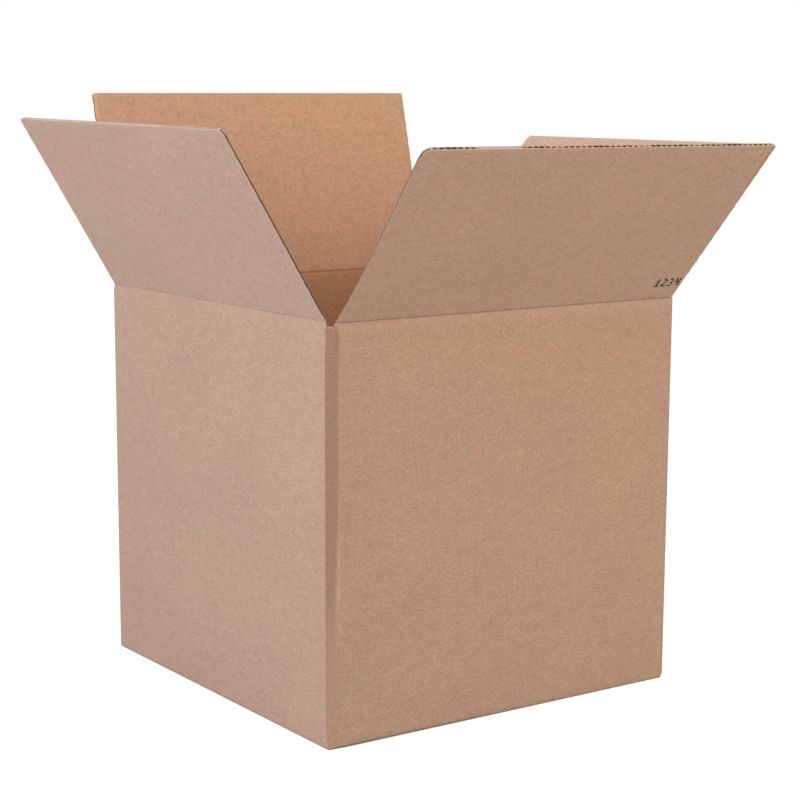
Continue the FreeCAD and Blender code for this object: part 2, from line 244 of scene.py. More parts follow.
def crushed_legs(number, z):
    """How far back along the walls before and after it a corner is pressed flat, at a height."""
    if number == 1:
        drop = max(FOOT_ROUND - z, 0.0)
        leg = FOOT_ROUND - math.sqrt(FOOT_ROUND ** 2 - drop ** 2)
        return leg, leg
    front_leg = FRONT_LEG - FRONT_LEG_DROP * smooth(*FRONT_LEG_RANGE, z)
    left_leg = LEFT_LEG + LEFT_LEG_GROWTH * smooth(*LEFT_LEG_RANGE, z)
    front_slot, left_slot = SETBACKS["front"][1], SETBACKS["left"][0]
    top = smooth(*TO_SLOTS_RANGE, z)
    return front_leg + (front_slot - front_leg) * top, left_leg + (left_slot - left_leg) * top


def crush(u, z, spot, spare=0.0):
    """Presses a spot in to the flat of a worn corner, or to the spare behind it: the upright
    corner at the front left, and the foot of the one at the front right."""
    for number in (1, 2):
        before, after = crushed_legs(number, z)
        if min(before, after) < LEAST_LEG or abs(u - STARTS[number]) > CRUSH_REACH:
            continue
        along_before, along_after = (np.array(WALLS[n][2], float) for n in (number - 1, number))
        slope = along_after / after - along_before / before
        size = np.linalg.norm(slope)
        over = 1.0 + spare * size - slope.dot(spot - np.array(WALLS[number][1]))
        if over > 0.0:
            spot = spot + slope * over / size ** 2
    return spot


def sway(u, v):
    """The box has spread a little: its front right corner stands further out at the top."""
    along = u / STARTS[1] if u < STARTS[1] else (STARTS[2] - u) / FRONT_LENGTH
    return np.array([SWAY * min(max(along, 0.0), 1.0) * min(max(v, 0.0) / FOLD_HEIGHT, 1.0), 0.0])


def wall_surface(u, v):
    outside, inside = plan(u)
    outside, inside = crush(u, v, outside), crush(u, v, inside, CRUSHED_BOARD)
    return np.append(outside + sway(u, v), v), np.append(inside + sway(u, v), v)


def bottom_profile(low, length):
    """The rows of a bottom fold, with one in the wall before them and two in the flap after."""
    bend = OUTER_BOTTOM_BEND if low == 0.0 else INNER_BOTTOM_BEND
    rows = [(FOOT_SEAM, 0.0, FOOT_SEAM, BOARD, FOOT_SEAM)] + bend
    rows.append((low - BOTTOM_BEND_END, BOTTOM_BEND_END, low, BOTTOM_BEND_END, low + BOARD))
    rows.append((low - length, length, low, length, low + BOARD))
    return np.array(rows)[::-1]


def fold_sink(u):
    """How far a wall's bottom fold has sunk; the front's lies on the floor at the right."""
    if wall_number(u) == 1:
        share = (STARTS[2] - u) / FRONT_LENGTH
        return FRONT_SINK + FRONT_SINK_GROWTH * smooth(0.0, FRONT_SINK_SHARE, share)
    return BACK_SINK if wall_number(u) == 3 else 0.0


def bottom_surface(profile):
    def surface(u, v):
        wall = plan(u)[0]
        inward = np.array(WALLS[wall_number(u)][3], float)
        depth, height, inner_depth, inner_height = (
            np.interp(v, profile[:, 0], profile[:, column]) for column in range(1, 5)
        )
        height -= fold_sink(u) * bump(SINK_MIDDLE, SINK_WIDTH, v)
        outer, inner = wall + inward * depth, wall + inward * inner_depth
        return (
            np.append(crush(u, height, outer), height),
            np.append(crush(u, height, inner, CRUSHED_BOARD), inner_height),
        )

    return surface


def half_fold(name):
    return HALF_SIDE if name in ("left", "right") else HALF_FRONT


def flap_halves(name):
    """From the middle of a fold to the flap's two sides."""
    half = half_fold(name)
    return half - SETBACKS[name][0], half - SETBACKS[name][1]


def flap_axes(name):
    """Middle of the fold, in space and in u, then the ways along the fold, up, outwards, up the
    open flap and out of it."""
    number = [wall[0] for wall in WALLS].index(name)
    start, along, inward = (np.array(part, float) for part in WALLS[number][1:4])
    fold, angle = TOP_FLAPS[name][0], math.radians(TOP_FLAPS[name][2])
    half = half_fold(name)
    middle = np.append(start + along * half, fold)
    along, outward = np.append(along, 0.0), np.append(-inward, 0.0)
    up = np.array([0.0, 0.0, 1.0])
    rise = up * math.cos(angle) + outward * math.sin(angle)
    face = outward * math.cos(angle) - up * math.sin(angle)
    return middle, STARTS[number] + half, along, up, outward, rise, face


def flap_surface(name):
    fold, length = TOP_FLAPS[name][:2]
    low_corner, high_corner = TOP_FLAPS[name][4:]
    middle, centre, along, up, outward, rise, face = flap_axes(name)
    low_half, high_half = flap_halves(name)
    lift = FOLD_LIFT[name]
    bend = middle + up * lift

    def surface(u, v):
        t, reach = u - centre, v - fold - lift
        grow = max(reach, 0.0) / (length - lift)
        side = (t + low_half) / (low_half + high_half)
        slide, stretch, lean = (
            low * (1.0 - side) + high * side for low, high in zip(low_corner, high_corner)
        )
        spot = bend + along * (t + slide * grow)
        spot[:2] += sway(u, fold) * (1.0 if name == "front" else 1.0 - grow)
        if reach <= -BEND_BELOW:
            spot, out = spot + up * reach, outward
        elif reach >= BEND_ABOVE:
            spot = spot + rise * (reach + stretch * grow) + face * lean * grow * grow
            out = face
        else:
            part = (reach + BEND_BELOW) / (BEND_BELOW + BEND_ABOVE)
            below, above = -up * BEND_BELOW, rise * BEND_ABOVE
            spot = spot + below * (1 - part) ** 2 + above * part ** 2
            out = outward * (1 - part) + face * part
            out = out / np.linalg.norm(out)
        low_pinch, high_pinch = PINCH[name]
        low_share = low_pinch + (1.0 - low_pinch) * smooth(0.0, PINCH_REACH, t + low_half)
        high_share = high_pinch + (1.0 - high_pinch) * smooth(0.0, PINCH_REACH, high_half - t)
        above_slot = smooth(SLOT_FLOOR, SLOT_FLOOR + PINCH_RISE, v)
        share = 1.0 - (1.0 - low_share * high_share) * above_slot
        return spot, spot - out * BOARD * share

    return surface


# ---- Wear and painted light: how dark a crease or a painted shade is and how pale a rub or a painted highlight is at a point of the sheet ----

# How dark the crease of each top flap's fold is outside, partly the board's pressing and partly
# painted shade, and how pale the rub below it
FOLD_MARKS = {
    "front": (0.85, 0.40),
    "left": (0.32, 0.10),
    "back": (0.40, 0.10),
    "right": (0.35, 0.10),
}
FOLD_RUB_MIDDLE, FOLD_RUB_WIDTH = -6.0, 10.0
# How dark the fold's crease is inside: partly the board's pressing, partly painted shade
INNER_CREASE = 0.7

# The crushed corner: the width of its darker band, which widens and shows over ranges of heights,
# how far its marks reach, how dark its parts are, how pale its rubs and its painted highlight are,
# and what shows on the inside. The darkness of the flat low down, of the pressed line and of the
# strip just beyond it is painted shade; the pale strip beyond the line, stronger low down, is a
# painted highlight.
BAND_WIDTH, BAND_GROWTH, BAND_WIDENS = 9.0, 4.5, (130.0, 300.0)
BAND_SHOWS = (60.0, 210.0)
MARKS_REACH = 30.0
BAND_DARK, FLAT_PAINTED_SHADE, LINE_PAINTED_SHADE, BEYOND_PAINTED_SHADE = 0.82, 0.21, 0.2, 0.14
BEYOND_PAINTED_HIGHLIGHT, LOW_PAINTED_HIGHLIGHT, LOW_HIGHLIGHT_FADES = 0.14, 0.12, (90.0, 160.0)
BAND_RUB, SLOT_RUB, SLOT_PALER = 0.2, 0.9, 0.6
INSIDE_SHARE = 0.25

# The other upright corners: darker along them inside and out, which in the hollow inside corners is
# painted shade
CORNER_DARK_AND_SHADE, CORNER_WIDTH = 0.22, 7.0

# The flaps' edges: scuffs along the sides, stronger near the fold, and along the free edge, a
# faint darker line along the sides, and the darker crease where the front flap's low side is
# pressed
SIDE_SCUFF, FOLD_SCUFF, END_SCUFF = 0.5, 0.45, 0.35
INNER_SCUFF_SHARE = 0.6
SIDE_DARK_LINE = 0.22
PRESSED_CREASE, PRESSED_FROM, PRESSED_FULL = 0.6, 95.0, 25.0


def corner_marks(u, v):
    """The crushed upright corner: a darker band beside its line, painted shade on the flat low
    down, along the line and just beyond it, and a painted highlight and rubs beyond.
    """
    across = u - CORNER_A
    line = crushed_legs(2, v)[1]
    width = BAND_WIDTH + BAND_GROWTH * smooth(*BAND_WIDENS, v)
    before = 1.0 - smooth(width - 5.0, width + 1.0, -across)
    band = before * (1.0 - smooth(line - 0.7, line + 0.9, across))
    shown = smooth(*BAND_SHOWS, v)
    at_slot = smooth(SLOT_FLOOR - 2.6, SLOT_FLOOR - 0.5, v)
    flat = (1.0 - smooth(4.0, MARKS_REACH, -across)) * (across < line)
    # The darker band, and painted shade on the flat low down
    dark = BAND_DARK * band * shown + FLAT_PAINTED_SHADE * flat * (1.0 - shown)
    # Painted shade along the pressed line and just beyond it
    dark += LINE_PAINTED_SHADE * bump(line - 0.4, 1.6, across)
    dark += BEYOND_PAINTED_SHADE * bump(line + 2.5, 3.0, across)
    # A painted highlight beyond the line, stronger low down, and rubs
    beyond = BEYOND_PAINTED_HIGHLIGHT + LOW_PAINTED_HIGHLIGHT * (1.0 - smooth(*LOW_HIGHLIGHT_FADES, v))
    rub_and_painted_highlight = beyond * bump(line + 4.0, 4.4, across)
    rub_and_painted_highlight = max(rub_and_painted_highlight, BAND_RUB * band * shown, SLOT_RUB * at_slot * bump(-2.0, 11.0, across))
    return dark * (1.0 - SLOT_PALER * at_slot), rub_and_painted_highlight


# The walls' darkening and paleness: wear, painted shade and a painted highlight
def wall_wear_and_painted_light(u, v, w):
    dark, rub_and_painted_highlight = corner_marks(u, v) if abs(u - CORNER_A) < MARKS_REACH else (0.0, 0.0)
    if w > BOARD / 2:
        dark, rub_and_painted_highlight = INSIDE_SHARE * dark, 0.0
    # Darker along the other upright corners; inside, in the hollow corners, this is painted shade
    for corner in (STARTS[1], STARTS[3], STARTS[4]):
        dark = max(dark, CORNER_DARK_AND_SHADE * bump(corner, CORNER_WIDTH, u))
    if in_flap(u) and w < BOARD / 2:
        name = WALLS[wall_number(u)][0]
        level = v - TOP_FLAPS[name][0] - FOLD_LIFT[name]
        rub_and_painted_highlight = max(rub_and_painted_highlight, FOLD_MARKS[name][1] * bump(FOLD_RUB_MIDDLE, FOLD_RUB_WIDTH, level))
    return dark, rub_and_painted_highlight


# A flap's darkening and paleness: wear, and painted shade in its fold's crease
def flap_wear_and_painted_light(name):
    fold, length = TOP_FLAPS[name][:2]
    darkening_and_painted_shade, pale = FOLD_MARKS[name]
    centre = flap_axes(name)[1]
    low_half, high_half = flap_halves(name)

    def wear_and_painted_light(u, v, w):
        reach = v - fold - FOLD_LIFT[name]
        from_low = u - centre + low_half
        from_side = min(from_low, high_half - u + centre)
        scuff = (SIDE_SCUFF + FOLD_SCUFF * bump(0.0, 9.0, reach)) * bump(0.0, 4.0, from_side)
        scuff += END_SCUFF * bump(fold + length, 5.0, v)
        if w > BOARD / 2:
            # Inside: the fold's crease, partly pressing and partly painted shade, and paler scuffs
            return INNER_CREASE * bump(0.9, 1.9, reach), INNER_SCUFF_SHARE * scuff
        # Outside: the fold's crease, partly pressing and partly painted shade, and a faint darker
        # line along the sides
        dark = max(darkening_and_painted_shade * bump(0.7, 1.7, reach), SIDE_DARK_LINE * bump(0.0, 3.0, from_side))
        if name == "front":
            pressed = smooth(length - PRESSED_FROM, length - PRESSED_FULL, reach)
            dark = max(dark, PRESSED_CREASE * pressed * bump(2.6, 3.4, from_low))
        rub_and_painted_highlight = pale * bump(FOLD_RUB_MIDDLE, FOLD_RUB_WIDTH, reach) * (reach < 0.0)
        return dark, max(rub_and_painted_highlight, scuff)

    return wear_and_painted_light


# ---- Mesh building ----


def add_object(name, data):
    """A new object of the scene for a mesh, a light or a camera."""
    thing = bpy.data.objects.new(name, data)
    bpy.context.scene.collection.objects.link(thing)
    return thing


class Board:
    """Points, faces and sheet values of one piece of board, in millimetres."""

    def __init__(self):
        self.spots, self.sheet, self.wear_and_painted_light = [], [], []
        self.faces, self.looks = [], []

    def add(self, spot, sheet, wear_and_painted_light=(0.0, 0.0)):
        self.spots.append(spot)
        self.sheet.append(sheet)
        self.wear_and_painted_light.append(wear_and_painted_light)
        return len(self.spots) - 1

    def face(self, corners, look):
        self.faces.append(corners)
        self.looks.append(look)

    def add_layers(self, surface, grid, present, is_seam, mouth, wear_and_painted_light):
        """Both faces of the board over the present cells of a grid, and its cut edges."""
        rows, columns = present.shape
        outer, inner = {}, {}

        def both(node):
            if node not in outer:
                u, v = grid[node]
                outside, inside = surface(u, v)
                outer[node] = self.add(outside, (u, v, 0.0), wear_and_painted_light(u, v, 0.0))
                inner[node] = self.add(inside, (u, v, BOARD), wear_and_painted_light(u, v, BOARD))
            return node

        edges = []
        for row in range(rows):
            for column in range(columns):
                if not present[row, column]:
                    continue
                ring = [(row, column), (row, column + 1), (row + 1, column + 1), (row + 1, column)]
                beyond = [(row - 1, column), (row, column + 1)]
                beyond += [(row + 1, column), (row, column - 1)]
                ring = [both(node) for node in ring]
                self.face([outer[node] for node in reversed(ring)], OUTSIDE)
                self.face([inner[node] for node in ring], INSIDE)
                for number, (next_row, next_column) in enumerate(beyond):
                    there = 0 <= next_row < rows and 0 <= next_column < columns
                    if not (there and present[next_row, next_column]):
                        edge = ring[number], ring[(number + 1) % 4]
                        if not is_seam(grid[edge[0]], grid[edge[1]]):
                            edges.append(edge)
        self.add_rim(surface, grid, edges, outer, inner, mouth)

    def add_rim(self, surface, grid, edges, outer, inner, mouth):
        """The cut edge: the ends of the two liners with a hollow between them, deep in an edge
        across the flutes, shallow along them and closed where the edge slants."""
        inwards = {}
        for first, second in edges:
            way = grid[second] - grid[first]
            turned = np.array([-way[1], way[0]]) / max(np.linalg.norm(way), 1e-9)
            for node in (first, second):
                inwards[node] = inwards.get(node, 0.0) + turned
        rings, slants = {}, {}
        for node, way in inwards.items():
            way = way / max(np.linalg.norm(way), 1e-9)
            slant = 4.0 * (way[0] * way[1]) ** 2
            slants[node] = slant
            groove = WORN_GROOVE if grid[node][1] < WORN_BELOW else SIDE_GROOVE
            opening = 1.0 - min(SLANT_FADE * slant, SHUT_SHARE)
            depth = groove * way[0] ** 2 + mouth * way[1] ** 2 * opening
            edge, deep = grid[node], grid[node] + way * depth
            stops = [(edge, LINER), (deep, LINER), (deep, BOARD - LINER), (edge, BOARD - LINER)]
            ring = [outer[node]]
            for (u, v), w in stops:
                outside, inside = surface(u, v)
                spot = outside + (inside - outside) * (w / BOARD)
                ring.append(self.add(spot, (u, v, w)))
            rings[node] = ring + [inner[node]]
        for first, second in edges:
            way = np.abs(grid[second] - grid[first])
            middle = GROOVE if max(slants[first], slants[second]) > SLANT_CLOSED else HOLLOW
            if way[1] > 3.0 * way[0]:
                middle = GROOVE if grid[first][1] < WORN_BELOW else HOLLOW
            here, there = rings[first], rings[second]
            for number in range(5):
                look = CUT if number in (0, 4) else middle
                self.face([here[number], there[number], there[number + 1], here[number + 1]], look)

    def add_lips(self, surface, start, stop, edge_height, mouth, shut, way=1):
        """The papers' ends in an edge across the flutes, pressed together between the mouths."""
        count = int((stop - start) / FLUTE_PITCH * FLUTE_STEPS)
        last = None
        for u in np.linspace(start, stop, count):
            turn = u * 2 * math.pi / FLUTE_PITCH
            slow = math.sin(u * 0.071) + math.sin(u * 0.173 + 1.0)
            gap = mouth * (0.86 + 0.14 * slow) * smooth(-0.95, -0.4, math.cos(turn) + 0.1 * slow)
            for low, high in shut:
                part = smooth(low, low + SHUT_FADE, u) * (1.0 - smooth(high - SHUT_FADE, high, u))
                gap *= 1.0 - SHUT_SHARE * part
            middle = BOARD / 2 + 0.15 + 0.2 * math.sin(turn / 2) + 0.1 * slow
            top, deep = edge_height(u) - way * LIP_DEPTH, edge_height(u) - way * MOUTH_DEPTH
            corners = []
            for rim, side in ((LINER, -1), (BOARD - LINER, 1)):
                inner = middle + side * max(gap, LEAST_GAP) / 2
                for v, w in ((top, rim), (top, inner), (deep, inner)):
                    outside, inside = surface(u, v)
                    corners.append(self.add(outside + (inside - outside) * (w / BOARD), (u, v, w)))
            if last:
                for one, two, look in ((0, 1, CUT), (1, 2, HOLLOW), (3, 4, CUT), (4, 5, HOLLOW)):
                    self.face([last[one], corners[one], corners[two], last[two]], look)
            last = corners

    def build(self, name, materials):
        mesh = bpy.data.meshes.new(name)
        mesh.from_pydata((np.array(self.spots) * MM).tolist(), [], self.faces)
        for label, kind, values in (
            ("sheet", "FLOAT_VECTOR", np.array(self.sheet)),
            ("darkening_and_painted_shade", "FLOAT", np.array(self.wear_and_painted_light)[:, 0]),
            ("rub_and_painted_highlight", "FLOAT", np.array(self.wear_and_painted_light)[:, 1]),
        ):
            attribute = mesh.attributes.new(label, kind, "POINT")
            key = "vector" if kind == "FLOAT_VECTOR" else "value"
            attribute.data.foreach_set(key, values.astype(np.float32).ravel())
        for material in materials:
            mesh.materials.append(material)
        mesh.polygons.foreach_set("material_index", self.looks)
        mesh.polygons.foreach_set("use_smooth", [True] * len(self.faces))
        mesh.set_sharp_from_angle(angle=SHARP_ANGLE)
        mesh.update()
        return add_object(name, mesh)


def steps(low, high, size):
    return list(np.linspace(low, high, max(2, int(round((high - low) / size)) + 1)))


def grid_of(columns, rows):
    grid = np.zeros((len(rows), len(columns), 2))
    grid[:, :, 0], grid[:, :, 1] = np.meshgrid(columns, rows)
    return grid


# ---- The folded blank below its top flaps ----


def blank_columns():
    columns = []
    for number, wall in enumerate(WALLS):
        name, length = wall[0], wall[4]
        low, high = STARTS[number], STARTS[number] + length
        if name == "tab":
            columns += [low + CORNER_OUTER] + steps(low + CORNER_OUTER + 1, high, CELL / 2)
            continue
        if number == 0:
            columns += [low, low + 2.5]
        columns += [low + SETBACKS[name][0]] + [low + part for part in SLOT_COLUMNS]
        columns += steps(low + 24.0, high - 24.0, CELL)
        columns += [high - part for part in SLOT_COLUMNS] + [high - SETBACKS[name][1]]
        columns += list(high - CORNER_OUTER + 2 * CORNER_OUTER * np.linspace(0, 1, 9))
    return sorted(set(round(float(u), 4) for u in columns))


def in_flap(u, top=True):
    """Whether a place along the blank lies between the two slots of its wall, top or bottom."""
    number = wall_number(u)
    if number == 4:
        return False
    length = SIDE_LENGTH if number % 2 == 0 else FRONT_LENGTH
    low, high = SETBACKS[WALLS[number][0]] if top else (BOTTOM_SETBACK, BOTTOM_SETBACK)
    return low - APART <= u - STARTS[number] <= length - high + APART


def wall_seam(first, second):
    level = abs(first[1] - second[1]) < APART
    middle = (first[0] + second[0]) / 2
    at_foot, at_slot = (abs(first[1] - seam) < APART for seam in (FOOT_SEAM, SLOT_FLOOR))
    return level and ((at_foot and in_flap(middle, False)) or (at_slot and in_flap(middle)))


def make_shell(materials):
    board = Board()
    columns = blank_columns()
    rows = FOOT_ROWS + steps(FOOT_SEAM, SLOT_FLOOR - 16.0, CELL)
    foot = len(FOOT_ROWS)
    rows += [SLOT_FLOOR - drop for drop in (12.0, 9.0, 6.0, 4.0, 2.0, 0.0)]
    grid = grid_of(columns, rows)
    for number, u in enumerate(columns):
        if u > TAB_START + CORNER_OUTER + 0.5:
            slope = TAB_SLOPE * (u - TAB_START - BOARD) / (TAB_WIDTH - BOARD)
            part = (grid[foot:, number, 1] - FOOT_SEAM) / (SLOT_FLOOR - FOOT_SEAM)
            low, high = TAB_BOTTOM + slope, TAB_TOP - slope
            grid[foot:, number, 1] = low + (high - low) * part
    for number, u in enumerate(columns):
        if abs(u - STARTS[1]) < CORNER_OUTER + 1.0 and not in_flap(u):
            grid[-1, number, 1] += CORNER_EAR
    present = np.ones((len(rows) - 1, len(columns) - 1), bool)
    for column in range(len(columns) - 1):
        middle = (columns[column] + columns[column + 1]) / 2
        if in_flap(middle, False) or middle > TAB_START + CORNER_OUTER:
            present[:foot, column] = False
    board.add_layers(wall_surface, grid, present, wall_seam, WALL_MOUTH, wall_wear_and_painted_light)
    for number in range(4):
        add_bottom_flap(board, number, columns)
    return board.build("carton_shell", materials)


def add_bottom_flap(board, number, columns):
    low, length = (0.0, OUTER_BOTTOM) if number % 2 == 0 else (LAYER, INNER_FLAP)
    profile = bottom_profile(low, length)
    kept = [u for u in columns if wall_number(u) == number and in_flap(u, False)]
    rows = steps(low - length, low - BOTTOM_BEND_END, 2 * CELL) + list(profile[2:, 0])
    grid = grid_of(kept, rows)
    present = np.ones((len(rows) - 1, len(kept) - 1), bool)

    def seam(first, second):
        return abs(first[1] - FOOT_SEAM) < APART and abs(second[1] - FOOT_SEAM) < APART

    surface = bottom_surface(profile)
    board.add_layers(surface, grid, present, seam, MOUTH_DEPTH, wall_wear_and_painted_light)
    start, stop = kept[0] + BOTTOM_LIP_INSET, kept[-1] - BOTTOM_LIP_INSET
    board.add_lips(surface, start, stop, lambda u: low - length, BOTTOM_MOUTH, [], -1)


# ---- The top flaps ----


def ragged(v, fold, shift):
    """How far a worn side edge falls short of a straight cut, at a height."""
    waves = math.sin(v * 0.37 + shift) + 0.8 * math.sin(v * 0.61 + 2.0 * shift)
    return RAGGED_DEPTH * (1.8 - waves) * smooth(fold + 10.0, fold + 30.0, v)


def flap_rows(name):
    """The heights of a flap's rows of points, close together in the bend and at the corners."""
    fold, length = TOP_FLAPS[name][:2]
    small, large = sorted(TOP_FLAPS[name][3])
    bend, end = fold + FOLD_LIFT[name], fold + length
    rows = [SLOT_FLOOR] + ([bend - 3.0] if bend - SLOT_FLOOR > 4.0 else [])
    rows += list(bend + np.linspace(-BEND_BELOW, BEND_ABOVE, 8)) + [bend + 5.0, bend + 8.0]
    rows += steps(fold + 12.0, end - large, CELL / 3) + [end - 5.0]
    turns = np.linspace(0.0, math.pi / 2, ROUND_STEPS)[1:]
    rows += [end - large + large * math.sin(turn) for turn in turns]
    if small < large:
        rows += [end - small + small * math.sin(turn) for turn in turns[:-1]]
    return sorted(set(round(float(v), 4) for v in rows))


def make_flap(name, materials):
    fold, length = TOP_FLAPS[name][:2]
    low, high = TOP_FLAPS[name][3]
    middle, centre, _, up, _, rise, _ = flap_axes(name)
    halves = flap_halves(name)

    def edge_height(u):
        t = u - centre
        radius, half = (low, halves[0]) if t < 0 else (high, halves[1])
        past = max(abs(t) - (half - radius), 0.0)
        return fold + length - radius + math.sqrt(max(radius ** 2 - past ** 2, 0.0))

    def edge_side(v, radius, half):
        past = max(v - (fold + length - radius), 0.0)
        return half - radius + math.sqrt(max(radius ** 2 - past ** 2, 0.0))

    rows = flap_rows(name)
    width = halves[0] + halves[1]
    inner = steps(14.0, width - 14.0, CELL)
    last = [width - part for part in reversed(SIDE_COLUMNS)]
    shares = np.array(SIDE_COLUMNS + inner + last) / width
    grid = np.zeros((len(rows), len(shares), 2))
    for row, v in enumerate(rows):
        start = centre - edge_side(v, low, halves[0]) + ragged(v, fold, 1.0)
        stop = centre + edge_side(v, high, halves[1]) - ragged(v, fold, 2.0)
        grid[row, :, 0] = start + (stop - start) * shares
        grid[row, :, 1] = v
    present = np.ones((len(rows) - 1, len(shares) - 1), bool)

    def seam(first, second):
        return first[1] < SLOT_FLOOR + APART and second[1] < SLOT_FLOOR + APART

    board = Board()
    surface = flap_surface(name)
    board.add_layers(surface, grid, present, seam, MOUTH_DEPTH, flap_wear_and_painted_light(name))
    mouth, shut = MOUTHS[name]
    shut = [(centre + first, centre + last) for first, last in shut]
    start, stop = centre - halves[0] + 0.7 * low + 0.6, centre + halves[1] - 0.7 * high - 0.6
    shut += [(start - 20.0, start + 9.0), (stop - 1.0, stop + 20.0)]
    board.add_lips(surface, start, stop, edge_height, mouth, shut)
    piece = board.build(name + "_flap_board", materials)
    way = (up + rise) / np.linalg.norm(up + rise)
    start, end = middle - way * BLEND_BELOW, middle + way * BLEND_ABOVE
    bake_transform(piece)
    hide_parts(name + "_flap")
    return piece


# ---- The stamp: plain digits of round dots beside the right end of the front flap ----

DOT_ROWS = {
    "1": ["010", "110", "010", "010", "111"],
    "2": ["110", "001", "010", "100", "111"],
    "3": ["110", "001", "010", "001", "110"],
    "4": ["101", "101", "111", "001", "001"],
}
STAMP = "1234"
# From the middle of the fold to the last digit's right end, and from the fold to its foot
STAMP_END = (224.6, 23.5)
DOT_PITCH = (2.1, 2.5)
DOT_RADIUS = 1.5
DOT_HEIGHT = 0.05
DIGIT_PITCH = 9.8
DOT_SIDES = 10


def make_stamp(material):
    fold = TOP_FLAPS["front"][0]
    surface = flap_surface("front")
    _, centre, _, _, _, _, face = flap_axes("front")
    spots, faces = [], []
    for number, digit in enumerate(reversed(STAMP)):
        for row, dots in enumerate(reversed(DOT_ROWS[digit])):
            for column, dot in enumerate(reversed(dots)):
                if dot == "0":
                    continue
                t = -STAMP_END[0] + number * DIGIT_PITCH + column * DOT_PITCH[0]
                reach = STAMP_END[1] + row * DOT_PITCH[1]
                first = len(spots)
                for lift in (0.0, DOT_HEIGHT):
                    for side in range(DOT_SIDES):
                        turn = side * 2 * math.pi / DOT_SIDES
                        u = centre + t + DOT_RADIUS * math.cos(turn)
                        v = fold + reach + DOT_RADIUS * math.sin(turn)
                        spots.append((surface(u, v)[0] + face * lift) * MM)
                top = [first + DOT_SIDES + side for side in range(DOT_SIDES)]
                faces.append(top[::-1])
                for side in range(DOT_SIDES):
                    low, next_low = first + side, first + (side + 1) % DOT_SIDES
                    faces.append([next_low, low, low + DOT_SIDES, next_low + DOT_SIDES])
    mesh = bpy.data.meshes.new("flap_stamp")
    mesh.from_pydata([tuple(spot) for spot in spots], [], faces)
    mesh.materials.append(material)
    piece = add_object("flap_stamp", mesh)
    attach(piece, "front_flap")
    return piece


# ---- Materials ----


class Nodes:
    """Short ways to add and join the nodes of one material."""

    def __init__(self, name):
        self.material = bpy.data.materials.new(name)
        self.material.use_nodes = True
        self.tree = self.material.node_tree
        self.shader = self.tree.nodes["Principled BSDF"]

    def new(self, kind, **settings):
        node = self.tree.nodes.new(kind)
        for key, value in settings.items():
            setattr(node, key, value)
        return node

    def feed(self, socket, source):
        if isinstance(source, bpy.types.NodeSocket):
            self.tree.links.new(source, socket)
        else:
            socket.default_value = source

    def math(self, operation, first, second=0.0):
        node = self.new("ShaderNodeMath", operation=operation)
        self.feed(node.inputs[0], first)
        self.feed(node.inputs[1], second)
        return node.outputs[0]

    def divide(self, vector, parts):
        node = self.new("ShaderNodeVectorMath", operation="DIVIDE")
        self.feed(node.inputs[0], vector)
        node.inputs[1].default_value = parts
        return node.outputs[0]

    def millimetres(self):
        """The place on the piece itself, for one without sheet coordinates."""
        place = self.new("ShaderNodeTexCoord").outputs["Object"]
        return self.divide(place, (MM, MM, MM))

    def noise(self, coordinates, stretch, detail=2.0, rough=0.5):
        """Noise between 0 and 1 whose features are about as long as the stretch, in millimetres."""
        scaled = self.divide(coordinates, stretch)
        node = self.new("ShaderNodeTexNoise", noise_dimensions="3D")
        self.feed(node.inputs["Vector"], scaled)
        node.inputs["Scale"].default_value = 1.0
        node.inputs["Detail"].default_value = detail
        node.inputs["Roughness"].default_value = rough
        return node.outputs["Fac"]

    def attribute(self, name, output="Fac"):
        return self.new("ShaderNodeAttribute", attribute_name=name).outputs[output]

    def mix(self, part, first, second, blend="MIX"):
        node = self.new("ShaderNodeMix", data_type="RGBA", blend_type=blend)
        self.feed(node.inputs[0], part)
        self.feed(node.inputs[6], first)
        self.feed(node.inputs[7], second)
        return node.outputs[2]

    def ramp(self, source, stops):
        node = self.new("ShaderNodeValToRGB")
        while len(node.color_ramp.elements) < len(stops):
            node.color_ramp.elements.new(0.5)
        for element, (place, colour) in zip(node.color_ramp.elements, stops):
            element.position = place
            element.color = (*colour, 1.0)
        self.feed(node.inputs[0], source)
        return node.outputs["Color"]


def tone(colour, factor):
    return tuple(part * factor for part in colour)


